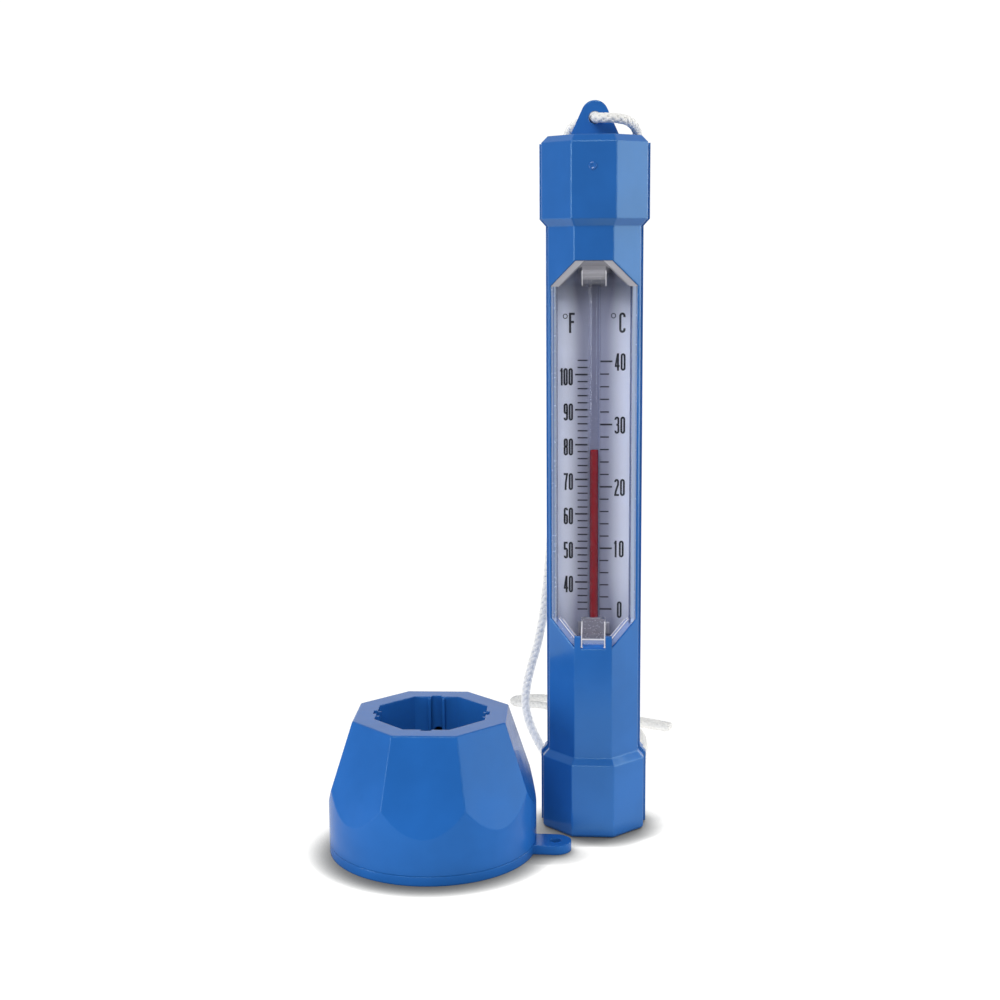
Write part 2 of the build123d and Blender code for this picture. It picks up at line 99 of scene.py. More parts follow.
class Nodes:
    """The node tree of a material or a world, with short calls for the nodes used here."""

    def __init__(self, owner, output="ShaderNodeOutputMaterial"):
        self.owner = owner
        owner.use_nodes = True
        self.tree = owner.node_tree
        self.tree.nodes.clear()
        self.output = self.tree.nodes.new(output)

    def add(self, kind, **settings):
        node = self.tree.nodes.new(kind)
        for key, value in settings.items():
            setattr(node, key, value)
        return node

    def link(self, a, b):
        self.tree.links.new(a, b)

    def principled(self, **sockets):
        shader = self.add("ShaderNodeBsdfPrincipled")
        for key, value in sockets.items():
            shader.inputs[key.replace("_", " ")].default_value = value
        self.link(shader.outputs[0], self.output.inputs["Surface"])
        return shader

    def place(self):
        """The row frame's coordinates on the surface."""
        return self.add("ShaderNodeTexCoord").outputs["Object"]

    def split(self, vector):
        """The X, Y and Z of a vector."""
        node = self.add("ShaderNodeSeparateXYZ")
        self.link(vector, node.inputs[0])
        return [node.outputs[axis] for axis in "XYZ"]

    def stretched(self, factors, source=None):
        mapping = self.add("ShaderNodeMapping")
        mapping.inputs["Scale"].default_value = factors
        self.link(source or self.place(), mapping.inputs["Vector"])
        return mapping.outputs[0]

    def noise(self, vector, scale, detail=2.0, roughness=0.5):
        node = self.add("ShaderNodeTexNoise")
        self.link(vector, node.inputs["Vector"])
        node.inputs["Scale"].default_value = scale
        node.inputs["Detail"].default_value = detail
        node.inputs["Roughness"].default_value = roughness
        return node.outputs["Fac"]

    def remap(self, value, source, target):
        """Values in the range source, eased over to the range target."""
        node = self.add("ShaderNodeMapRange", interpolation_type="SMOOTHSTEP")
        self.link(value, node.inputs["Value"])
        node.inputs["From Min"].default_value, node.inputs["From Max"].default_value = source
        node.inputs["To Min"].default_value, node.inputs["To Max"].default_value = target
        return node.outputs["Result"]

    def math(self, operation, first, *others):
        """The operation on two values, or on more of them one after the other."""
        for other in others:
            node = self.add("ShaderNodeMath", operation=operation)
            for socket, value in zip(node.inputs, (first, other)):
                if isinstance(value, (int, float)):
                    socket.default_value = value
                else:
                    self.link(value, socket)
            first = node.outputs[0]
        return first

    def product(self, *values):
        return self.math("MULTIPLY", *values)

    def largest(self, *values):
        return self.math("MAXIMUM", *values)

    def distance(self, value, centre=0.0):
        return self.math("ABSOLUTE", self.math("SUBTRACT", value, centre), 0.0)

    def stripe(self, value, low, high, soft, strength=1.0):
        """The strength where the value lies between low and high, fading out over the distance soft."""
        rising = self.remap(value, (low - soft, low), FULL)
        falling = self.remap(value, (high, high + soft), (1.0, 0.0))
        return self.product(rising, falling, strength)

    def mix(self, factor, a, b):
        node = self.add("ShaderNodeMix", data_type="RGBA")
        self.link(factor, node.inputs["Factor"])
        for socket, value in ((node.inputs["A"], a), (node.inputs["B"], b)):
            if isinstance(value, tuple):
                socket.default_value = (*value, 1.0)
            else:
                self.link(value, socket)
        return node.outputs["Result"]

    def bump(self, shader, height, strength, distance, previous=None):
        node = self.add("ShaderNodeBump")
        node.inputs["Strength"].default_value = strength
        node.inputs["Distance"].default_value = distance
        self.link(height, node.inputs["Height"])
        if previous is not None:
            self.link(previous, node.inputs["Normal"])
        self.link(node.outputs[0], shader.inputs["Normal"])
        return node.outputs[0]


def new_material(name):
    return Nodes(bpy.data.materials.new(name))


def ranked(color, amount):
    """A colour made lighter or darker by a factor."""
    return tuple(min(1.0, channel * amount) for channel in color)


# ------------------------------------------------------------------ materials
EDGE_SOFTNESS = 0.0006
SCRATCH_TONE = 0.05                     # how much lighter, rougher and deeper the hairlines are
SCRATCH_ROUGHNESS = 0.06
SCRATCH_DEPTH = 0.04


def moulded_plastic(
    name, color, roughness, waviness=0.35, gloss=0.5, gloss_tint=WHITE, edge=EDGE_SOFTNESS
):
    """Glossy injection-moulded plastic: faint waves and shade variation, hairline scratches, dust."""
    n = new_material(name)
    shader = n.principled(IOR=1.5)
    shader.inputs["Specular Tint"].default_value = (*gloss_tint, 1.0)
    shader.inputs["Specular IOR Level"].default_value = gloss
    here = n.place()
    waves = n.noise(n.stretched((1.0, 1.0, 0.45), here), scale=70.0)
    cloud = n.noise(here, scale=38.0, detail=3.0, roughness=0.6)
    grain = n.noise(here, scale=2600.0, roughness=0.6)
    streaks = n.noise(n.stretched((1.0, 1.0, 0.02), here), scale=1500.0, detail=3.0, roughness=0.65)
    cross = n.noise(n.stretched((0.03, 0.03, 1.0), here), scale=1900.0, roughness=0.65)
    scratch = n.largest(
        n.remap(streaks, (0.66, 0.74), FULL), n.remap(cross, (0.70, 0.78), (0.0, 0.7))
    )
    tone = n.mix(n.remap(cloud, NOISE_MID, FULL), ranked(color, 0.93), ranked(color, 1.07))
    worn = n.mix(n.product(scratch, SCRATCH_TONE), tone, ranked(color, 1.9))
    n.link(worn, shader.inputs["Base Color"])
    rough = n.remap(cloud, (0.3, 0.75), (roughness * 0.8, roughness * 1.25))
    rough = n.math("ADD", rough, n.product(scratch, SCRATCH_ROUGHNESS))
    n.link(rough, shader.inputs["Roughness"])
    edges = n.add("ShaderNodeBevel", samples=6)
    edges.inputs["Radius"].default_value = edge
    first = n.bump(shader, waves, waviness, 0.00035, edges.outputs[0])
    second = n.bump(shader, grain, 0.10, 0.00002, first)
    n.bump(shader, scratch, SCRATCH_DEPTH, 0.00003, second)
    return n.owner


# tones of the clear cover where it is cloudy, and of the highlights, light and shadow painted on it
FROST_AND_HIGHLIGHT_WHITE = (0.68, 0.67, 0.72)
WALL_HIGHLIGHT_TONE = (0.48, 0.57, 0.74)
TAB_CLOUD = (0.20, 0.20, 0.26)
GAP_SHADE = (0.08, 0.10, 0.20)
PAINTED_LIGHT_BLUE = (0.32, 0.42, 0.70)

# places on the clear cover, across from the axis and up from the floor
COVER_TOP = 0.1803
COVER_FOOT = 0.0611
COVER_MIDDLE = (COVER_TOP + COVER_FOOT) / 2
COVER_CORNER = 0.00549                  # half width of the window at its ends
SLANT_EDGE = COVER_CORNER + (COVER_TOP - COVER_FOOT) / 2   # |x| + |z| from the middle, on a slant
FLANGE_WIDTH = 0.0018
SLANT_FLANGE = SLANT_EDGE - FLANGE_WIDTH * 2**0.5          # the flange's inner edge there
TAB_EDGE = 0.0037                       # half width of the snap tabs
PANE_FACE = axis_y - 0.0062             # the pane's outer face is in front of this plane
TAB_ROOT = axis_y - 0.0075
TAB_FACE = axis_y - 0.0125              # the tabs' outer ends are in front of this plane

# its lines: from, to, softness of both sides, strength
SLANT_INNER_LINE = (SLANT_FLANGE, SLANT_FLANGE + 0.0003, 0.0002, 0.8)
SLANT_OUTER_LINE = (SLANT_EDGE - 0.0008, SLANT_EDGE - 0.0004, 0.0002, 0.8)
# painted pale blue light along the lower slanted flange
SLANT_LIGHT_BAND = (SLANT_FLANGE + 0.0008, SLANT_EDGE - 0.0001, 0.0004, 0.5)
# painted highlights where the side walls are seen edge on, and painted shadow in the gap inside each
WALL_LEFT = (-0.0122, -0.0118, 0.0002, 0.62)
WALL_RIGHT = (0.0118, 0.0126, 0.0002, 0.75)
GAP_LEFT = (-0.0115, -0.0112, 0.0002, 0.19)
GAP_RIGHT = (0.0111, 0.0114, 0.0003, 0.25)
# the tabs' side lines, the lower tab's bar and gleam, and the upper tab's line and block are painted
# highlights
TAB_SIDE = (TAB_EDGE - 0.00024, TAB_EDGE, 0.0001)
LOWER_TAB = (0.0610, 0.0684, 0.0002)
LOWER_TAB_BAR = (0.0639, 0.0642, 0.0001)
LOWER_TAB_GLEAM = (0.0630, 0.0638, 0.0008, 0.35)
LOWER_TAB_CLOUD = (0.0643, 0.0745, 0.0003, 0.65)
UPPER_TAB = (0.1727, 0.1772, 0.0002)
UPPER_TAB_LINE = (0.1752, 0.1755, 0.0001, 0.5)
UPPER_TAB_BLOCK = (0.1757, 0.1786, 0.0004, 0.40)

# and where its larger marks begin and are full, with their strength
SLANTS = (0.0516, 0.0519)               # up and down from the middle
STRAIGHT_SIDES = (0.0525, 0.0535)       # they end here, up and down from the middle
SLANT_FROST = (SLANT_FLANGE - 0.0003, SLANT_FLANGE)
SLANT_FROST_STRENGTH = 0.82
TOP_FROST = (COVER_TOP - 0.0022, COVER_TOP - 0.0014)
TOP_FROST_STRENGTH = 0.35
SIDE_RIM = (0.0123, 0.0126)
SIDE_RIM_STRENGTH = 0.55
TAB_WIDTH_FADE = (TAB_EDGE - 0.0002, TAB_EDGE)


def cover_marks(n):
    """Where the clear cover is cloudy, and its painted highlights, painted light and painted shadow:
    pairs of a mask and the tone shown there.
    """
    x, y, height = n.split(n.place())
    sideways = n.math("SUBTRACT", x, axis_x)
    across = n.distance(sideways)
    from_middle = n.distance(height, COVER_MIDDLE)
    on_face = n.math("LESS_THAN", y, PANE_FACE)
    above = n.math("GREATER_THAN", height, COVER_MIDDLE)
    below = n.math("SUBTRACT", 1.0, above)

    diagonal = n.math("ADD", across, from_middle)
    at_ends = n.remap(from_middle, SLANTS, FULL)
    # frost on the upper slants, with painted highlight lines along the slant edges
    slants = n.largest(
        n.product(n.remap(diagonal, SLANT_FROST, (0.0, SLANT_FROST_STRENGTH)), above),
        n.stripe(diagonal, *SLANT_INNER_LINE),
        n.product(n.stripe(diagonal, *SLANT_OUTER_LINE), above),
    )
    slants = n.product(slants, at_ends)
    # painted light: a pale blue band on the lower slants
    slant_light = n.product(n.stripe(diagonal, *SLANT_LIGHT_BAND), below, at_ends)
    top = n.remap(height, TOP_FROST, (0.0, TOP_FROST_STRENGTH))

    down_sides = n.product(n.remap(from_middle, STRAIGHT_SIDES, (1.0, 0.0)), on_face)
    # painted highlights down the side walls and the rim, and painted shadow in the gaps
    wall = n.largest(
        n.stripe(sideways, *WALL_LEFT),
        n.stripe(sideways, *WALL_RIGHT),
        n.remap(across, SIDE_RIM, (0.0, SIDE_RIM_STRENGTH)),
    )
    gap = n.largest(n.stripe(sideways, *GAP_LEFT), n.stripe(sideways, *GAP_RIGHT))

    on_tabs = n.largest(n.stripe(height, *LOWER_TAB), n.stripe(height, *UPPER_TAB))
    tab_sides = n.product(n.stripe(across, *TAB_SIDE), on_tabs, on_face)
    within = n.remap(across, TAB_WIDTH_FADE, (1.0, 0.0))
    tab_front = n.product(within, n.math("LESS_THAN", y, TAB_FACE))
    tab_slope = n.product(within, n.math("LESS_THAN", y, TAB_ROOT))
    # painted highlights on the lower tab: a bright bar and a pale gleam below it
    bar = n.product(tab_front, n.stripe(height, *LOWER_TAB_BAR))
    gleam = n.product(tab_front, n.stripe(height, *LOWER_TAB_GLEAM))
    cloud = n.product(tab_slope, n.stripe(height, *LOWER_TAB_CLOUD))
    upper = n.largest(n.stripe(height, *UPPER_TAB_LINE), n.stripe(height, *UPPER_TAB_BLOCK))
    upper = n.product(within, upper)
    return [
        (cloud, TAB_CLOUD),
        (gleam, WALL_HIGHLIGHT_TONE),
        (slant_light, PAINTED_LIGHT_BLUE),
        (n.product(wall, down_sides), WALL_HIGHLIGHT_TONE),
        (n.product(gap, down_sides), GAP_SHADE),
        (n.largest(slants, top, tab_sides, bar, upper), FROST_AND_HIGHLIGHT_WHITE),
    ]


MARK_TONE_GAIN = 4.0                    # a mark takes its full tone at a quarter of its strength
MARK_ROUGHNESS = 0.4


def clear_plastic(name, color, roughness, ior, marks=None, flow_depth=0.12, gloss=0.5):
    """Clear plastic or glass that lets lamps through, with faint flow lines."""
    n = new_material(name)
    shader = n.principled(IOR=ior, Transmission_Weight=1.0, Specular_IOR_Level=gloss)
    here = n.place()
    flow = n.noise(n.stretched((1.0, 1.0, 0.2), here), scale=120.0)
    specks = n.noise(here, scale=1400.0, detail=1.0)
    tone = n.mix(n.remap(flow, NOISE_MID, FULL), color, ranked(color, 0.97))
    rough = n.remap(specks, (0.62, 0.75), (roughness, roughness + 0.08))
    # the marks are cloudiness and painted highlights, light and shadow
    if marks:
        covered = 0.0
        for mask, mark_tone in marks(n):
            toned = n.math("MINIMUM", n.product(mask, MARK_TONE_GAIN), 1.0)
            tone = n.mix(toned, tone, mark_tone)
            covered = n.largest(covered, mask)
        rough = n.math("ADD", rough, n.product(covered, MARK_ROUGHNESS))
        n.link(n.math("SUBTRACT", 1.0, covered), shader.inputs["Transmission Weight"])
    n.link(tone, shader.inputs["Base Color"])
    n.link(rough, shader.inputs["Roughness"])
    n.bump(shader, flow, flow_depth, 0.0002)
    open_shader = n.add("ShaderNodeBsdfTransparent")
    open_shader.inputs["Color"].default_value = (*color, 1.0)
    mixer = n.add("ShaderNodeMixShader")
    path = n.add("ShaderNodeLightPath")
    n.link(path.outputs["Is Shadow Ray"], mixer.inputs[0])
    n.link(shader.outputs[0], mixer.inputs[1])
    n.link(open_shader.outputs[0], mixer.inputs[2])
    n.link(mixer.outputs[0], n.output.inputs["Surface"])
    return n.owner


def frosted_plastic(name, color, through):
    """Cloudy, light-scattering plastic that lets the given share of the light through."""
    n = new_material(name)
    shader = n.principled(IOR=1.49, Transmission_Weight=through)
    grain = n.noise(n.place(), scale=1800.0, detail=3.0, roughness=0.6)
    cloud = n.noise(n.place(), scale=260.0)
    tone = n.mix(n.remap(cloud, (0.35, 0.65), FULL), ranked(color, 0.82), color)
    n.link(tone, shader.inputs["Base Color"])
    n.link(n.remap(grain, NOISE_MID, (0.35, 0.6)), shader.inputs["Roughness"])
    n.bump(shader, grain, 0.3, 0.00004)
    return n.owner


CARD_PALE = (0.68, 0.70, 0.78)
CARD_SHADE_TONE = (0.23, 0.24, 0.32)     # painted shade, darkest behind the tube
TUBE_SHADE_REACH = (0.0030, 0.0100)            # it fades out between these distances from the tube
CARD_END_SHADE = (0.038, 0.056)              # painted shade: the card is darker towards both ends
CARD_END_SHADE_STRENGTH = 0.35


def printed_card(name):
    """Matt card stock, slightly uneven, for the scale, with painted shade beside the tube and towards
    both ends.
    """
    n = new_material(name)
    shader = n.principled(IOR=1.45)
    here = n.place()
    x, y, z = n.split(here)
    cloud = n.noise(here, scale=60.0, detail=3.0, roughness=0.6)
    fibre = n.noise(n.stretched((1.0, 1.0, 0.3), here), scale=2200.0, detail=3.0, roughness=0.65)
    tone = n.mix(n.remap(cloud, NOISE_MID, FULL), CARD_PALE, ranked(CARD_PALE, 1.06))
    speck = n.mix(n.remap(fibre, (0.62, 0.80), (0.0, 0.35)), tone, ranked(CARD_PALE, 0.7))
    # painted shade beside the tube
    tube_shade = n.remap(n.distance(x, tube_x), TUBE_SHADE_REACH, (1.0, 0.0))
    from_middle = n.distance(z, (card_low.z + card_high.z) / 2)
    # painted shade towards both ends of the card
    ends = n.remap(from_middle, CARD_END_SHADE, (0.0, CARD_END_SHADE_STRENGTH))
    shade = n.math("MINIMUM", n.math("ADD", tube_shade, ends), 1.0)
    n.link(n.mix(shade, speck, CARD_SHADE_TONE), shader.inputs["Base Color"])
    n.link(n.remap(fibre, NOISE_MID, (0.42, 0.6)), shader.inputs["Roughness"])
    n.bump(shader, fibre, 0.15, 0.00002)
    return n.owner


INK_TONES = ((0.006, 0.007, 0.012), (0.02, 0.022, 0.032))
SPIRIT_TONES = ((0.22, 0.002, 0.010), (0.27, 0.005, 0.014))
STEEL_TONES = ((0.42, 0.42, 0.43), (0.55, 0.55, 0.56))
YARN_TONES = ((0.87, 0.86, 0.83), (0.95, 0.94, 0.915))
YARN_DIRT = (0.80, 0.80, 0.78)
YARN_SHADE_TONE = (0.70, 0.70, 0.69)
YARN_SHADE_SHARE = 0.85
YARN_SHADE_DEPTHS = (0.118, 0.135)            # painted shade: between these depths the cord is darkened


def ink(name):
    """Screen-printed black ink: dense, slightly uneven."""
    n = new_material(name)
    shader = n.principled(IOR=1.5)
    grain = n.noise(n.place(), scale=3500.0)
    n.link(n.mix(n.remap(grain, (0.35, 0.7), FULL), *INK_TONES), shader.inputs["Base Color"])
    n.link(n.remap(grain, NOISE_MID, (0.35, 0.55)), shader.inputs["Roughness"])
    n.bump(shader, grain, 0.1, 0.00002)
    return n.owner


def red_spirit(name):
    """Dyed spirit in the bore."""
    n = new_material(name)
    shader = n.principled(IOR=1.36)
    depth = n.noise(n.stretched((1.0, 1.0, 0.1), n.place()), scale=900.0)
    n.link(n.mix(n.remap(depth, NOISE_MID, FULL), *SPIRIT_TONES), shader.inputs["Base Color"])
    n.link(n.remap(depth, NOISE_MID, (0.12, 0.2)), shader.inputs["Roughness"])
    return n.owner


def braided_yarn(name):
    """White filament yarn of the cord: fine lines along each strand."""
    n = new_material(name)
    shader = n.principled(IOR=1.5, Sheen_Weight=0.25, Sheen_Roughness=0.4)
    strand = n.add("ShaderNodeUVMap", uv_map="strand").outputs[0]
    lines = n.noise(n.stretched((9.0, 0.35, 1.0), strand), scale=1.0, detail=3.0, roughness=0.6)
    dirt = n.noise(n.place(), scale=160.0, detail=3.0, roughness=0.6)
    tone = n.mix(n.remap(lines, NOISE_MID, FULL), *YARN_TONES)
    used = n.mix(n.remap(dirt, (0.55, 0.8), (0.0, 0.5)), tone, YARN_DIRT)
    x, y, z = n.split(n.place())
    # painted shade: the cord's far bend on the floor is darker
    far_bend_shade = n.remap(y, YARN_SHADE_DEPTHS, (0.0, YARN_SHADE_SHARE))
    n.link(n.mix(far_bend_shade, used, YARN_SHADE_TONE), shader.inputs["Base Color"])
    n.link(n.remap(lines, NOISE_MID, (0.55, 0.75)), shader.inputs["Roughness"])
    n.bump(shader, lines, 0.5, 0.00006)
    return n.owner


def steel(name):
    """Turned steel with fine rings."""
    n = new_material(name)
    shader = n.principled(Metallic=1.0)
    turned = n.noise(n.stretched((1.0, 1.0, 40.0), n.place()), scale=90.0)
    n.link(n.mix(n.remap(turned, NOISE_MID, FULL), *STEEL_TONES), shader.inputs["Base Color"])
    n.link(n.remap(turned, NOISE_MID, (0.28, 0.45)), shader.inputs["Roughness"])
    n.bump(shader, turned, 0.1, 0.00003)
    return n.owner


def foam(name, color, cell):
    """Foam rubber with open cells; cell is their number in a metre."""
    n = new_material(name)
    shader = n.principled(IOR=1.4)
    cells = n.add("ShaderNodeTexVoronoi")
    n.link(n.place(), cells.inputs["Vector"])
    cells.inputs["Scale"].default_value = cell
    depth = cells.outputs["Distance"]
    hollow = (0.0, 0.7)
    # painted shade: the hollows of the cells are darker
    tone = n.mix(n.remap(depth, hollow, FULL), ranked(color, 0.6), color)
    n.link(tone, shader.inputs["Base Color"])
    n.link(n.remap(depth, hollow, (0.95, 0.8)), shader.inputs["Roughness"])
    n.bump(shader, depth, 0.6, 0.0002)
    return n.owner


HOUSING_BLUE = (0.021, 0.134, 0.46)
FLOAT_BLUE = (0.018, 0.128, 0.45)
BLUE_GLOSS = (0.60, 0.97, 1.0)          # the pigment near the surface colours the steep reflections
housing_blue = moulded_plastic(
    "housing_blue", HOUSING_BLUE, roughness=0.12, gloss=0.75, gloss_tint=BLUE_GLOSS
)
gate_blue = moulded_plastic("gate_blue", HOUSING_BLUE, roughness=0.10, gloss=0.75, edge=0.00008)
float_blue = moulded_plastic(
    "float_blue", FLOAT_BLUE, roughness=0.16, waviness=0.5, gloss=0.28, gloss_tint=BLUE_GLOSS
)
clear_cover = clear_plastic(
    "clear_cover", (0.96, 0.965, 0.985), roughness=0.01, ior=1.49, marks=cover_marks, flow_depth=0.04
)
tube_glass = clear_plastic(
    "tube_glass", (0.90, 0.91, 0.95), roughness=0.08, ior=1.51, flow_depth=0.0, gloss=0.2
)
bore_glass = clear_plastic("bore_glass", (0.97, 0.97, 0.98), roughness=0.0, ior=1.02, flow_depth=0.0)
card_print = printed_card("card_print")
ink_black = ink("ink_black")
spirit = red_spirit("red_spirit")
clip_clear = frosted_plastic("clip_clear", (0.36, 0.36, 0.42), through=0.25)
cap_rubber = moulded_plastic("end_cap_rubber", (0.03, 0.03, 0.032), roughness=0.6)
ballast_steel = steel("ballast_steel")
cushion_foam = foam("cushion_foam", (0.35, 0.36, 0.38), cell=900.0)
cord_white = braided_yarn("cord_white")
cover_frost = frosted_plastic("cover_frost", (0.54, 0.60, 0.70), through=0.5)

for node_name, material in (
    ("housing_front_shell", housing_blue),
    ("housing_rear_shell", housing_blue),
    ("window_cover", clear_cover),
    ("scale_card", card_print),
    ("glass_tube", tube_glass),
    ("bulb_liquid", spirit),
    ("tube_clip_lower", clip_clear),
    ("tube_clip_upper", clip_clear),
    ("tube_end_cap", cap_rubber),
    ("ballast_weight", ballast_steel),
    ("bulb_cushion", cushion_foam),
    ("float_hood", float_blue),
    ("float_base", float_blue),
):
    mesh = nodes[node_name].data
    mesh.materials.clear()
    mesh.materials.append(material)


# the side faces of the cover's upper slanted edges are cloudy, its panes clear
cover = nodes["window_cover"]
cover.data.materials.append(cover_frost)
for polygon in cover.data.polygons:
    upper_half = (cover.matrix_world @ polygon.center).z > COVER_MIDDLE
    slanted = abs(polygon.normal.z) < 0.9 and abs(polygon.normal.x) < 0.9
    if upper_half and slanted and abs(polygon.normal.y) < 0.35:
        polygon.material_index = 1

# the wall of the bore shows only faintly
BORE_REACH = 0.0016
tube_mesh = nodes["glass_tube"].data
tube_mesh.materials.append(bore_glass)
for polygon in tube_mesh.polygons:
    outward = Vector((polygon.center.x - tube_x, polygon.center.y - tube_y))
    inner = outward.dot(Vector(polygon.normal.xy)) < 0.0
    if inner and outward.length < BORE_REACH and polygon.center.z > card_low.z:
        polygon.material_index = 1


def new_piece(name, vertices, faces, material, body, smooth=True):
    """A mesh piece in the row frame."""
    mesh = bpy.data.meshes.new(name)
    mesh.from_pydata(vertices, [], faces)
    mesh.materials.append(material)
    for polygon in mesh.polygons:
        polygon.use_smooth = smooth
    piece = bpy.data.objects.new(name, mesh)
    bpy.context.scene.collection.objects.link(piece)
    if body:
        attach(piece, body)
    return piece


# ------------------------------------------------------------------ cords
# control points from the thermometer's axis, the same as the CAD's; both halves start in the ear
CORD_RIGHT = [
    (0.0, 0.0, 0.2227), (0.0002, -0.0037, 0.2225), (0.0024, -0.0062, 0.2223),
    (0.0064, -0.0062, 0.2222), (0.0102, -0.0030, 0.2216), (0.0122, 0.0034, 0.2203),
    (0.0133, 0.0108, 0.2180), (0.0140, 0.0166, 0.2088), (0.0132, 0.0194, 0.1910),
    (0.0120, 0.0220, 0.1580), (0.0112, 0.0240, 0.1180), (0.0120, 0.0264, 0.0780),
    (0.0130, 0.0290, 0.0440), (0.0136, 0.0336, 0.0150), (0.0154, 0.0430, 0.0016),
    (0.0174, 0.0600, 0.0016), (0.0177, 0.0790, 0.0016), (0.0150, 0.0910, 0.0016),
    (0.0080, 0.0972, 0.0016), (0.0006, 0.1013, 0.0016), (-0.0040, 0.1079, 0.0016),
]
CORD_LEFT = [
    (0.0, 0.0, 0.2227), (-0.0002, 0.0037, 0.2225), (-0.0022, 0.0066, 0.2222),
    (-0.0054, 0.0088, 0.2218), (-0.0081, 0.0126, 0.2204), (-0.0092, 0.0174, 0.2170),
    (-0.0098, 0.0214, 0.2070), (-0.0104, 0.0240, 0.1900), (-0.0108, 0.0256, 0.1600),
    (-0.0122, 0.0270, 0.1260), (-0.0140, 0.0278, 0.0980), (-0.0158, 0.0284, 0.0760),
    (-0.0180, 0.0290, 0.0560), (-0.0236, 0.0300, 0.0370), (-0.0240, 0.0304, 0.0255),
    (-0.0174, 0.0316, 0.0110), (-0.0128, 0.0396, 0.0016), (-0.0106, 0.0560, 0.0016),
    (-0.0114, 0.0780, 0.0016), (-0.0106, 0.0980, 0.0016), (-0.0146, 0.1130, 0.0016),
    (-0.0220, 0.1204, 0.0016), (-0.0320, 0.1210, 0.0016), (-0.0349, 0.1242, 0.0016),
    (-0.0336, 0.1283, 0.0016), (-0.0250, 0.1306, 0.0016), (-0.0176, 0.1286, 0.0016),
    (-0.0115, 0.1247, 0.0016), (-0.00687, 0.1181, 0.0016),
]
TAIL_FRONT = [
    (-0.00113, 0.1099, 0.0016), (0.0032, 0.1037, 0.0016), (0.0118, 0.0996, 0.0016),
    (0.0200, 0.0959, 0.0016), (0.0276, 0.0917, 0.0016),
]
TAIL_BACK = [
    (0.00174, 0.1119, 0.0016), (0.0061, 0.1060, 0.0016), (0.0136, 0.1028, 0.0016),
    (0.0216, 0.0991, 0.0016), (0.0288, 0.0949, 0.0016),
]


def spline_points(route, resolution=24):
    """Points on the smooth NURBS line that has the route as its control points."""
    curve = bpy.data.curves.new("route", "CURVE")
    curve.dimensions = "3D"
    spline = curve.splines.new("NURBS")
    spline.points.add(len(route) - 1)
    for point, offset in zip(spline.points, route):
        point.co = (*place(*offset), 1.0)
    spline.order_u = 3
    spline.use_endpoint_u = True
    spline.resolution_u = resolution
    holder = bpy.data.objects.new("route", curve)
    bpy.context.scene.collection.objects.link(holder)
    bpy.context.view_layer.update()
    mesh = bpy.data.meshes.new_from_object(holder)
    points = [vertex.co.copy() for vertex in mesh.vertices]
    bpy.data.objects.remove(holder)
    bpy.data.meshes.remove(mesh)
    return points


def evenly(points, step):
    """The same line with evenly spaced points."""
    lengths = [0.0]
    for a, b in zip(points, points[1:]):
        lengths.append(lengths[-1] + (b - a).length)
    count = max(2, round(lengths[-1] / step))
    result, index = [], 0
    for k in range(count + 1):
        target = lengths[-1] * k / count
        while index < len(lengths) - 2 and lengths[index + 1] < target:
            index += 1
        span = max(lengths[index + 1] - lengths[index], 1e-12)
        share = (target - lengths[index]) / span
        result.append(points[index].lerp(points[index + 1], share))
    return result, lengths[-1]


def frames_along(points):
    """Two directions across the line at each point, turning as little as possible."""
    tangents = []
    for k in range(len(points)):
        before = points[max(k - 1, 0)]
        after = points[min(k + 1, len(points) - 1)]
        tangents.append((after - before).normalized())
    side = tangents[0].orthogonal().normalized()
    frames = []
    for tangent in tangents:
        side = (side - tangent * side.dot(tangent)).normalized()
        frames.append((side, tangent.cross(side)))
    return frames


BRAID_PITCH = 0.0090            # one whole turn of a strand
BRAID_STEP = 0.0005             # between the rings of a strand
BRAID_RADIUS = 0.00112          # of the strands' middle lines, which rise and sink by BRAID_RISE
BRAID_RISE = 0.00013
STRANDS_EACH_WAY = 4
STRAND_WIDTH = 0.00066          # half of a strand's width, and of its thickness
STRAND_THICKNESS = 0.00031
STRAND_SIDES = 8
CORE_RADIUS = 0.00100
CORE_SIDES = 10
TIP_REACH = 0.0015              # a sealed end closes over this length
TIP_LEAST = 0.12
PATH_STEP = 0.002


def circle(count):
    """The cosine and sine of evenly spaced angles."""
    return [(math.cos(2 * math.pi * k / count), math.sin(2 * math.pi * k / count)) for k in range(count)]


def ring_faces(start, rings, sides):
    """Quads between successive rings, with both ends closed."""
    faces = []
    for k in range(rings - 1):
        for s in range(sides):
            a = start + k * sides + s
            b = start + k * sides + (s + 1) % sides
            faces.append((a, b, b + sides, a + sides))
    faces.append(tuple(start + s for s in range(sides))[::-1])
    faces.append(tuple(start + (rings - 1) * sides + s for s in range(sides)))
    return faces


def tip_share(along, length):
    """How full the cord is near its heat-sealed end: 1, then closing to a blunt round tip."""
    left = length - along
    if left >= TIP_REACH:
        return 1.0
    return max(TIP_LEAST, math.sqrt(max(0.0, 1 - (1 - left / TIP_REACH) ** 2)))


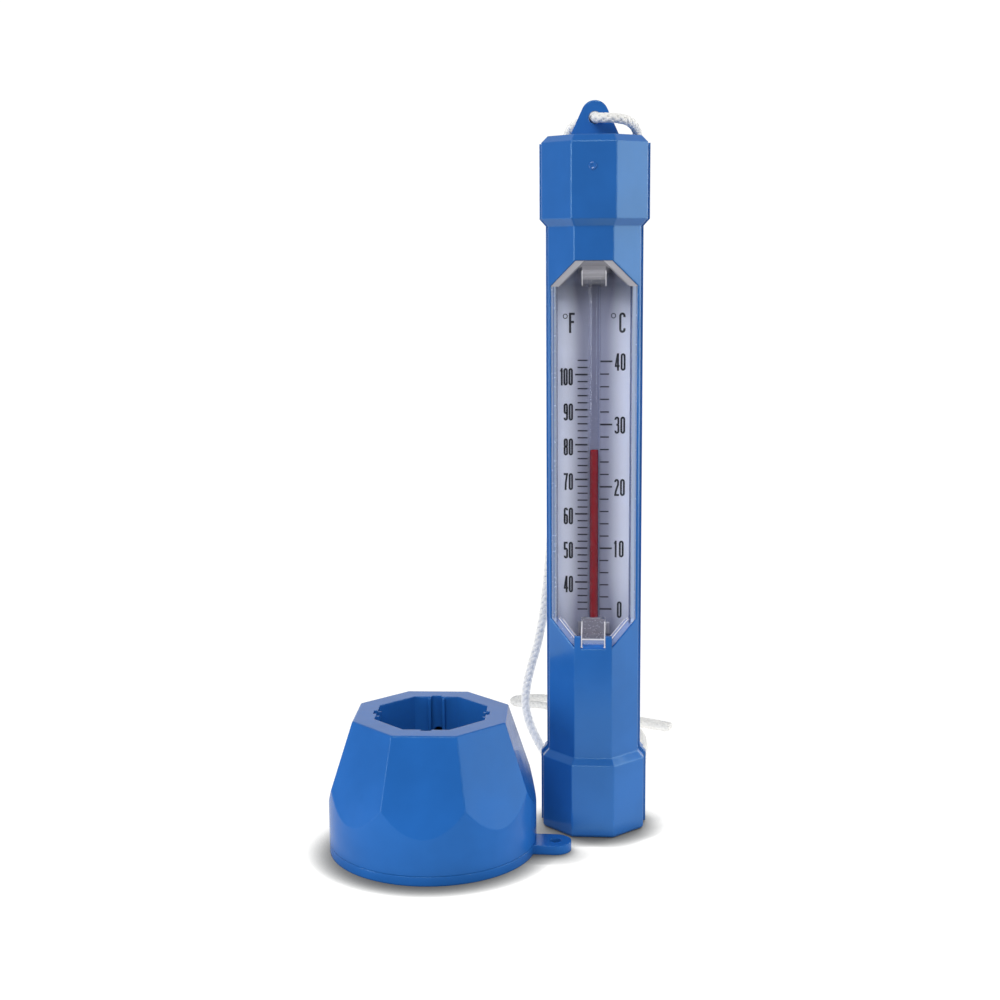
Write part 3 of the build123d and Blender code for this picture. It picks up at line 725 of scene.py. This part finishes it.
def braid(name, points, body, phase=0.0, tip=False):
    """Eight strands, four each way, woven over and under each other round a core."""
    line, length = evenly(points, BRAID_STEP)
    frames = frames_along(line)
    step = length / (len(line) - 1)
    shares = [tip_share(k * step, length) if tip else 1.0 for k in range(len(line))]
    vertices, faces = [], []
    for strand in range(2 * STRANDS_EACH_WAY):
        turn = 1 if strand < STRANDS_EACH_WAY else -1
        first_angle = (strand % STRANDS_EACH_WAY) * math.pi / 2 + phase
        if turn < 0:
            first_angle += math.pi / 4
        centres = []
        for k, (point, (side, up)) in enumerate(zip(line, frames)):
            turned = 2 * math.pi * k * step / BRAID_PITCH
            angle = first_angle + turn * turned
            radius = BRAID_RADIUS + turn * BRAID_RISE * math.sin(STRANDS_EACH_WAY * turned)
            outward = side * math.cos(angle) + up * math.sin(angle)
            centres.append(point + outward * radius * shares[k])
        start = len(vertices)
        for k, centre in enumerate(centres):
            ahead = (centres[min(k + 1, len(centres) - 1)] - centres[max(k - 1, 0)]).normalized()
            outward = centre - line[k]
            outward = (outward - ahead * outward.dot(ahead)).normalized()
            across = ahead.cross(outward)
            vertices += [
                centre
                + across * (cosine * STRAND_WIDTH * shares[k])
                + outward * (sine * STRAND_THICKNESS * shares[k])
                for cosine, sine in circle(STRAND_SIDES)
            ]
        faces += ring_faces(start, len(centres), STRAND_SIDES)
    start = len(vertices)
    for point, (side, up), share in zip(line, frames, shares):
        vertices += [
            point + (side * cosine + up * sine) * CORE_RADIUS * share
            for cosine, sine in circle(CORE_SIDES)
        ]
    faces += ring_faces(start, len(line), CORE_SIDES)
    piece = new_piece(name, vertices, faces, cord_white, body)
    strand_uv(piece, start, len(line), step)
    return piece, length


STRAND_UV_SHIFT = (3.1, 7.7)    # moves each strand to its own part of the pattern


def strand_uv(piece, core_start, rings, step):
    """U goes round each strand and V along it, in millimetres."""
    layer = piece.data.uv_layers.new(name="strand")
    for loop in piece.data.loops:
        index = loop.vertex_index
        if index < core_start:
            strand, rest = divmod(index, rings * STRAND_SIDES)
            ring, side = divmod(rest, STRAND_SIDES)
            around = abs(side - STRAND_SIDES / 2) / STRAND_SIDES
        else:
            strand = 2 * STRANDS_EACH_WAY + 1
            ring, side = divmod(index - core_start, CORE_SIDES)
            around = side / CORE_SIDES
        layer.data[loop.index].uv = (
            strand * STRAND_UV_SHIFT[0] + around,
            strand * STRAND_UV_SHIFT[1] + ring * step / MM,
        )


right_points = spline_points(CORD_RIGHT)
left_points = spline_points(CORD_LEFT)
front_points = spline_points(TAIL_FRONT)
back_points = spline_points(TAIL_BACK)
cord_right, right_length = braid("cord_right_braid", right_points, "thermometer")
cord_left, left_length = braid("cord_left_braid", left_points, "thermometer", phase=0.4)
tail_front, front_length = braid(
    "cord_tail_front_braid", front_points, "thermometer", phase=0.2, tip=True
)
tail_back, back_length = braid(
    "cord_tail_back_braid", back_points, "thermometer", phase=0.9, tip=True
)
for piece, node_name in (
    (cord_right, "cord_right"),
    (cord_left, "cord_left"),
    (tail_front, "cord_tail_front"),
    (tail_back, "cord_tail_back"),
):
    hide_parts(node_name)

# the knot: three turns of the cord round the lines that meet in it
knot_low, knot_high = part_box("cord_knot")
knot_centre = (knot_low + knot_high) / 2
KNOT_TURN = math.radians(-55.0)
knot_along = Vector((math.cos(KNOT_TURN), math.sin(KNOT_TURN), 0.0))
knot_across = Vector((-math.sin(KNOT_TURN), math.cos(KNOT_TURN), 0.0))
KNOT_HALF_LENGTH = 0.0034
KNOT_HALF_WIDTH = 0.0042
KNOT_HALF_HEIGHT = 0.0016
KNOT_TURNS = 3
KNOT_POINTS = 10                # control points in each turn
KNOT_START = 0.6                # radians


def knot_route():
    """Control points of the knot's turns, from the thermometer's axis."""
    points = []
    for k in range(KNOT_TURNS * KNOT_POINTS + 1):
        angle = 2 * math.pi * k / KNOT_POINTS + KNOT_START
        along = KNOT_HALF_LENGTH * (2 * k / (KNOT_TURNS * KNOT_POINTS) - 1)
        point = (
            knot_centre
            + knot_along * along
            + knot_across * (math.cos(angle) * KNOT_HALF_WIDTH)
            + Vector((0, 0, math.sin(angle) * KNOT_HALF_HEIGHT))
        )
        points.append((point.x - axis_x, point.y - axis_y, point.z))
    return points


knot = braid("cord_knot_turns", spline_points(knot_route(), 12), "thermometer", phase=0.3)[0]
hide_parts("cord_knot")

evenly(right_points, PATH_STEP)[0]
evenly(left_points, PATH_STEP)[0]
evenly(front_points, PATH_STEP)[0]
evenly(back_points, PATH_STEP)[0]


# ------------------------------------------------------------------ scale print
PRINT_THICKNESS = 0.00004
TICK_MAJOR = 0.00055
TICK_MINOR = 0.00042
SAME_PLACE = 1e-9
MITRE_LIMIT = 0.5
print_vertices, print_faces = [], []


def on_card(x, z, lift):
    """A point of the print, from the axis in x and above the floor in z."""
    return (axis_x + x, card_face - lift, z)


def ribbon(points, width, closed=False):
    """A flat stroke of the given width along points (x, z) on the card, as a thin closed solid."""
    count = len(points)
    rails = []
    for k, (x, z) in enumerate(points):
        before = points[k - 1] if closed or k > 0 else points[k]
        after = points[(k + 1) % count] if closed or k < count - 1 else points[k]
        first = Vector((x - before[0], z - before[1]))
        second = Vector((after[0] - x, after[1] - z))
        if first.length < SAME_PLACE:
            first = second
        if second.length < SAME_PLACE:
            second = first
        first.normalize()
        second.normalize()
        bisector = Vector((-(first.y + second.y), first.x + second.x))
        bisector.normalize()
        normal = Vector((-first.y, first.x))
        offset = bisector * (width / 2 / max(bisector.dot(normal), MITRE_LIMIT))
        rails += [(x + offset.x, z + offset.y), (x - offset.x, z - offset.y)]
    start = len(print_vertices)
    for x, z in rails:
        print_vertices.append(on_card(x, z, PRINT_THICKNESS))
        print_vertices.append(on_card(x, z, 0.0))
    spans = count if closed else count - 1
    for k in range(spans):
        a = start + 4 * k
        b = start + 4 * ((k + 1) % count)
        print_faces.append((a, a + 2, b + 2, b))
        print_faces.append((a + 1, b + 1, b + 3, a + 3))
        print_faces.append((a, b, b + 1, a + 1))
        print_faces.append((a + 2, a + 3, b + 3, b + 2))
    if not closed:
        end = start + 4 * (count - 1)
        print_faces.append((start, start + 1, start + 3, start + 2))
        print_faces.append((end, end + 2, end + 3, end + 1))


def arc(centre_x, centre_z, radius_x, radius_z, first, last, steps=10):
    """Points on part of an ellipse, angles in degrees anticlockwise from +X."""
    result = []
    for k in range(steps + 1):
        t = math.radians(first + (last - first) * k / steps)
        result.append((centre_x + radius_x * math.cos(t), centre_z + radius_z * math.sin(t)))
    return result


DIGIT_WIDTH = 0.00152
DIGIT_HEIGHT = 0.0054
DIGIT_STROKE = 0.00061
DIGIT_GAP = 0.00030
ONE_WIDTH = 0.00085


def bowl(cx, cz, rx, rz):
    """A closed or open round stroke's upper and lower halves, round two centres in cz."""
    return arc(cx, cz[0], rx, rz, 0, 180) + arc(cx, cz[1], rx, rz, 180, 360)


def glyph(letter, left, middle, height=DIGIT_HEIGHT, width=DIGIT_WIDTH, stroke=DIGIT_STROKE):
    """One condensed sans-serif figure, its left edge and the middle of its height given."""
    half = stroke / 2
    x0, x1 = left + half, left + width - half
    z0, z1 = middle - height / 2 + half, middle + height / 2 - half
    cx, rx = (x0 + x1) / 2, (x1 - x0) / 2
    rz = rx * 1.25
    full = z1 - z0
    if letter == "0":
        ribbon(bowl(cx, (z1 - rz, z0 + rz), rx, rz), stroke, True)
    elif letter == "1":
        stem = left + ONE_WIDTH - half
        ribbon([(stem, z0 - half), (stem, z1 + half)], stroke)
        ribbon([(stem, z1), (left + stroke * 0.2, z1 - full * 0.15)], stroke * 0.85)
    elif letter == "2":
        neck = [(x1, z1 - full * 0.30), (x0 + rx * 0.5, z0 + full * 0.28), (x0, z0)]
        ribbon(arc(cx, z1 - rz, rx, rz, 190, 0) + neck, stroke)
        ribbon([(x0 - half, z0), (x1 + half, z0)], stroke)
    elif letter == "3":
        waist = z0 + full * 0.53
        flat = rz * 0.8
        ribbon(arc(cx, z1 - rz, rx, rz, 195, 0) + arc(cx, waist + flat, rx, flat, 0, -80), stroke)
        ribbon(arc(cx, waist - flat, rx, flat, 80, 0) + arc(cx, z0 + rz, rx, rz, 0, -195), stroke)
        ribbon([(cx - rx * 0.4, waist), (cx + rx * 0.55, waist)], stroke)
    elif letter == "4":
        stem = x1 - rx * 0.45
        bar = z0 + full * 0.24
        ribbon([(stem, z0 - half), (stem, z1 + half)], stroke)
        ribbon([(stem - stroke * 0.2, z1 + stroke * 0.2), (x0 - stroke * 0.1, bar)], stroke * 0.85)
        ribbon([(x0 - half, bar), (x1 + half, bar)], stroke)
    elif letter == "5":
        top = z0 + full * 0.60
        ribbon([(x1 + stroke * 0.3, z1), (x0, z1), (x0, top - rz * 0.7)], stroke)
        ribbon(arc(cx, top - rz, rx, rz, 165, 0) + arc(cx, z0 + rz, rx, rz, 0, -195), stroke)
    elif letter in "69":
        top = z0 + full * 0.57
        ring = bowl(cx, (top - rz, z0 + rz), rx, rz)
        hook = [(x0, z0 + rz)] + arc(cx, z1 - rz, rx, rz, 180, -15)
        if letter == "9":
            ring, hook = ([(2 * cx - x, z0 + z1 - z) for x, z in line] for line in (ring, hook))
        ribbon(ring, stroke, True)
        ribbon(hook, stroke)
    elif letter == "7":
        foot = [(cx, z0 + full * 0.45), (cx - rx * 0.25, z0 - half)]
        ribbon([(x0 - half, z1), (x1, z1)] + foot, stroke)
    elif letter == "8":
        waist = z0 + full * 0.52
        rz = min(rz, (waist - z0) / 2)
        ribbon(bowl(cx, (waist - rz, z0 + rz), rx, rz), stroke, True)
        ribbon(bowl(cx, (z1 - rz, waist + rz), rx * 0.94, rz), stroke, True)
    elif letter == "F":
        arm = z0 + full * 0.55
        ribbon([(x0, z0 - half), (x0, z1 + half)], stroke)
        ribbon([(x0, z1), (x1 + half, z1)], stroke)
        ribbon([(x0, arm), (x1 + stroke * 0.2, arm)], stroke)
    elif letter == "C":
        ribbon(arc(cx, z1 - rz, rx, rz, -20, 180) + arc(cx, z0 + rz, rx, rz, 180, 380), stroke)


def number(text, left, middle, width=DIGIT_WIDTH, gap=DIGIT_GAP, after_one=0.0):
    """Figures in a row; after_one is added to the gap that follows a 1."""
    for letter in text:
        glyph(letter, left, middle, width=width)
        left += (ONE_WIDTH + after_one if letter == "1" else width) + gap


CELSIUS_ZERO = 0.07024
CELSIUS_STEP = 0.0019718          # height of one degree
CELSIUS_RANGE = range(0, 41, 2)
CELSIUS_LINE = (0.0013, 0.00457, 0.00561)          # beside the tube, end of a short and a long line
CELSIUS_LEFT = {1: 0.0073, 2: 0.0063}              # left edge of one figure and of two
CELSIUS_DROP = 0.0002             # the figures are printed a little below their lines
CELSIUS_AFTER_ONE = 0.0004
FREEZING = 32
FAHRENHEIT_FREEZING = 0.07016
FAHRENHEIT_STEP = 0.0011011
FAHRENHEIT_RANGE = range(FREEZING, 105, 2)
FAHRENHEIT_LINE = (-0.0021, -0.00522, -0.00600)
FAHRENHEIT_LEFT = {2: -0.0096, 3: -0.0107}
FAHRENHEIT_DROP = 0.0007
NARROW = (0.00138, 0.00020)       # width of a Fahrenheit figure, and the gap after it


def scale_line(height, line, major):
    inner, short_end, long_end = line
    end = long_end if major else short_end
    ribbon([(min(inner, end), height), (max(inner, end), height)], TICK_MAJOR if major else TICK_MINOR)


for degree in CELSIUS_RANGE:
    height = CELSIUS_ZERO + CELSIUS_STEP * degree
    major = degree % 10 == 0
    scale_line(height, CELSIUS_LINE, major)
    if major:
        figures = str(degree)
        left = CELSIUS_LEFT[len(figures)]
        number(figures, left, height - CELSIUS_DROP, after_one=CELSIUS_AFTER_ONE)
for degree in FAHRENHEIT_RANGE:
    height = FAHRENHEIT_FREEZING + FAHRENHEIT_STEP * (degree - FREEZING)
    major = degree % 10 == 0
    scale_line(height, FAHRENHEIT_LINE, major)
    if major:
        figures = str(degree)
        number(figures, FAHRENHEIT_LEFT[len(figures)], height - FAHRENHEIT_DROP, *NARROW)

# the unit letters: left edge, width and stroke, then the degree ring's middle, radii and stroke
UNIT_MIDDLE = 0.16105
UNIT_HEIGHT = 0.0063
RING_END = 340                    # degrees; the stroke closes the rest
for letter, left, width, stroke, ring_x, ring_z, ring_rx, ring_rz, ring_stroke in (
    ("F", -0.0079, 0.0018, 0.00072, -0.00905, 0.1631, 0.00062, 0.00068, 0.00026),
    ("C", 0.0076, 0.0020, 0.00070, 0.00586, 0.1632, 0.00066, 0.00070, 0.00028),
):
    ribbon(arc(ring_x, ring_z, ring_rx, ring_rz, 0, RING_END, steps=20), ring_stroke, True)
    glyph(letter, left, UNIT_MIDDLE, UNIT_HEIGHT, width, stroke)
scale_print = new_piece(
    "scale_print", print_vertices, print_faces, ink_black, "thermometer", smooth=False
)

# ------------------------------------------------------------------ red liquid in the bore
LIQUID_RADIUS = (column_high.x - column_low.x) / 2 + 0.00007   # wets the glass of the bore
LIQUID_SIDES = 24
LIQUID_RINGS = 90
LIQUID_DEPTH = 0.004            # how far above the tube's foot it begins, in the bulb's liquid
LIQUID_SHOULDER = 0.0004        # the meniscus starts this far below the top
MENISCUS = ((0.0001, 0.93), (0.00003, 0.78), (0.0002, 0.45), (0.0003, 0.15))   # drop, share of radius
liquid_top = column_high.z
liquid_foot = tube_low.z + LIQUID_DEPTH
straight = liquid_top - LIQUID_SHOULDER - liquid_foot
profile = [(liquid_foot + straight * k / LIQUID_RINGS, 1.0) for k in range(LIQUID_RINGS + 1)]
profile += [(liquid_top - drop, share) for drop, share in MENISCUS]
liquid_vertices = [
    (tube_x + cosine * LIQUID_RADIUS * share, tube_y + sine * LIQUID_RADIUS * share, height)
    for height, share in profile
    for cosine, sine in circle(LIQUID_SIDES)
]
liquid_faces = ring_faces(0, len(profile), LIQUID_SIDES)
liquid = new_piece("liquid_thread", liquid_vertices, liquid_faces, spirit, None)
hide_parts("liquid_column")
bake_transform(liquid)

# ------------------------------------------------------------------ mark of moulding
GATE_PLACE = (-0.0004, 0.2078)  # across from the axis, and up
GATE_RADIUS = 0.00125
GATE_HEIGHT = 0.00026
GATE_FOOT = 0.0001              # how far its rim reaches into the flat
GATE_SIDES = 32
GATE_RINGS = (                  # share of the radius, share of the height
    (1.0, 0.0), (0.94, 0.5), (0.84, 0.9), (0.72, 1.0), (0.58, 0.85), (0.40, 0.45), (0.2, 0.3),
    (0.05, 0.28),
)


def gate_mark(name, x, face, z):
    """A shallow round gate vestige on a front flat, with a dished middle."""
    vertices = []
    for share, lift in GATE_RINGS:
        depth = face - GATE_HEIGHT * lift if lift else face + GATE_FOOT
        for s, (cosine, sine) in enumerate(circle(GATE_SIDES)):
            t = 2 * math.pi * s / GATE_SIDES
            uneven = 1 + 0.05 * math.sin(3 * t + 1.0) + 0.03 * math.sin(7 * t)
            radius = GATE_RADIUS * share
            vertices.append((x + cosine * radius * uneven, depth, z + sine * radius))
    faces = ring_faces(0, len(GATE_RINGS), GATE_SIDES)
    new_piece(name, vertices, faces, gate_blue, "thermometer")


shell_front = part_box("housing_front_shell")[0].y
gate_mark("gate_mark_upper", axis_x + GATE_PLACE[0], shell_front, GATE_PLACE[1])

# ------------------------------------------------------------------ floor, light and background
FLOOR_HALF = 2.0
FLOOR_GLOW = 1.0
FLOOR_TONES = ((0.12, 0.12, 0.115), (0.13, 0.13, 0.125))
SHADE_REACH = 0.0080             # the contact shade ends this far from what stands on the floor
SHADE_TILT = (0.0, 0.87, 0.5)    # it is looked for in this direction
SHADE_POWER = 3.0
SHADE_BACK = (0.020, 0.040)      # no shade is seen behind the thermometer's foot
GLOW_FRONT = (-0.20, -0.11)      # the lit part of the sweep starts in front of the float
GLOW_SIDES = (0.15, 0.5)         # in reflections it is dimmer in the middle than at the sides
GLOW_MIDDLE = 0.62


def floor_material():
    """White sweep, lit from below its surface, with soft shade close to what stands on it."""
    n = new_material("floor_pale")
    shader = n.principled(IOR=1.3, Specular_IOR_Level=0.1)
    x, y, z = n.split(n.place())
    cloud = n.noise(n.place(), scale=3.0, detail=3.0)
    n.link(n.mix(n.remap(cloud, NOISE_MID, FULL), *FLOOR_TONES), shader.inputs["Base Color"])
    n.link(n.remap(cloud, NOISE_MID, (0.8, 0.9)), shader.inputs["Roughness"])
    near = n.add("ShaderNodeAmbientOcclusion", samples=16)
    near.inputs["Distance"].default_value = SHADE_REACH
    tilt = n.add("ShaderNodeCombineXYZ")
    for socket, value in zip(tilt.inputs, SHADE_TILT):
        socket.default_value = value
    n.link(tilt.outputs[0], near.inputs["Normal"])
    shade = n.math("POWER", near.outputs["AO"], SHADE_POWER)
    open_share = n.largest(shade, n.remap(y, SHADE_BACK, FULL))
    path = n.add("ShaderNodeLightPath")
    lit = n.largest(n.remap(y, GLOW_FRONT, FULL), path.outputs["Is Camera Ray"])
    dimmed = n.math("SUBTRACT", 1.0, n.remap(n.distance(x), GLOW_SIDES, (GLOW_MIDDLE, 1.0)))
    mirrored = n.math("SUBTRACT", 1.0, n.product(path.outputs["Is Glossy Ray"], dimmed))
    glow = n.product(open_share, lit, mirrored, FLOOR_GLOW)
    shader.inputs["Emission Color"].default_value = (1.0, 1.0, 0.995, 1.0)
    n.link(glow, shader.inputs["Emission Strength"])
    return n.owner


floor_corners = [
    (x * FLOOR_HALF, y * FLOOR_HALF, 0) for x, y in ((-1, -1), (1, -1), (1, 1), (-1, 1))
]
new_piece("floor", floor_corners, [(0, 1, 2, 3)], floor_material(), None, smooth=False)


def softbox(name, stand, target, size, radiance):
    """A rectangular lamp whose face has the given brightness, where 1 is white."""
    data = bpy.data.lights.new(name, "AREA")
    data.shape = "RECTANGLE"
    data.size, data.size_y = size
    data.energy = radiance * math.pi * size[0] * size[1]
    light = bpy.data.objects.new(name, data)
    bpy.context.scene.collection.objects.link(light)
    light.location = stand
    light.rotation_mode = "QUATERNION"
    light.rotation_quaternion = (Vector(target) - Vector(stand)).to_track_quat("-Z", "Y")


for lamp in (                    # name, place, what it points at, width and height, brightness
    ("softbox_right", (0.62, 0.02, 0.31), (0.04, 0.01, 0.31), (0.28, 0.60), 2.2),
    ("softbox_back_right", (0.70, 0.50, 0.30), (0.04, 0.02, 0.15), (0.24, 0.55), 4.0),
    ("softbox_left", (-0.95, -0.42, 0.30), (0.02, 0.0, 0.10), (0.35, 0.6), 7.0),
    ("strip_front_right", (0.72, -0.75, 0.40), (0.03, 0.0, 0.12), (0.09, 0.8), 7.0),
    ("softbox_key", (-0.12, -0.75, 0.95), (0.0, 0.0, 0.10), (0.9, 0.5), 5.5),
):
    softbox(*lamp)

# the room is darker in front than behind, and a little darker overhead; the camera sees it white
SURROUND_DEPTH = (-0.1, 0.6)     # along Y, from SURROUND_FRONT to SURROUND_BACK
SURROUND_FRONT = 0.15
SURROUND_BACK = 1.0
SURROUND_HEIGHT = (0.30, 0.55)   # along Z, from the full light to SURROUND_TOP
SURROUND_TOP = 0.6
SURROUND_TINT = (0.97, 0.985, 1.0)
BACKDROP_LIGHT = 1.05
bpy.context.scene.world = bpy.data.worlds.new("studio")
studio = Nodes(bpy.context.scene.world, "ShaderNodeOutputWorld")
x, y, z = studio.split(studio.add("ShaderNodeTexCoord").outputs["Generated"])
surround = studio.add("ShaderNodeBackground")
surround.inputs["Color"].default_value = (*SURROUND_TINT, 1.0)
surround_light = studio.product(
    studio.remap(y, SURROUND_DEPTH, (SURROUND_FRONT, SURROUND_BACK)),
    studio.remap(z, SURROUND_HEIGHT, (1.0, SURROUND_TOP)),
)
studio.link(surround_light, surround.inputs["Strength"])
backdrop = studio.add("ShaderNodeBackground")
backdrop.inputs["Color"].default_value = (*WHITE, 1.0)
backdrop.inputs["Strength"].default_value = BACKDROP_LIGHT
choose = studio.add("ShaderNodeMixShader")
seen = studio.add("ShaderNodeLightPath")
studio.link(seen.outputs["Is Camera Ray"], choose.inputs[0])
studio.link(surround.outputs[0], choose.inputs[1])
studio.link(backdrop.outputs[0], choose.inputs[2])
studio.link(choose.outputs[0], studio.output.inputs["Surface"])
bpy.context.scene.view_settings.view_transform = "Standard"
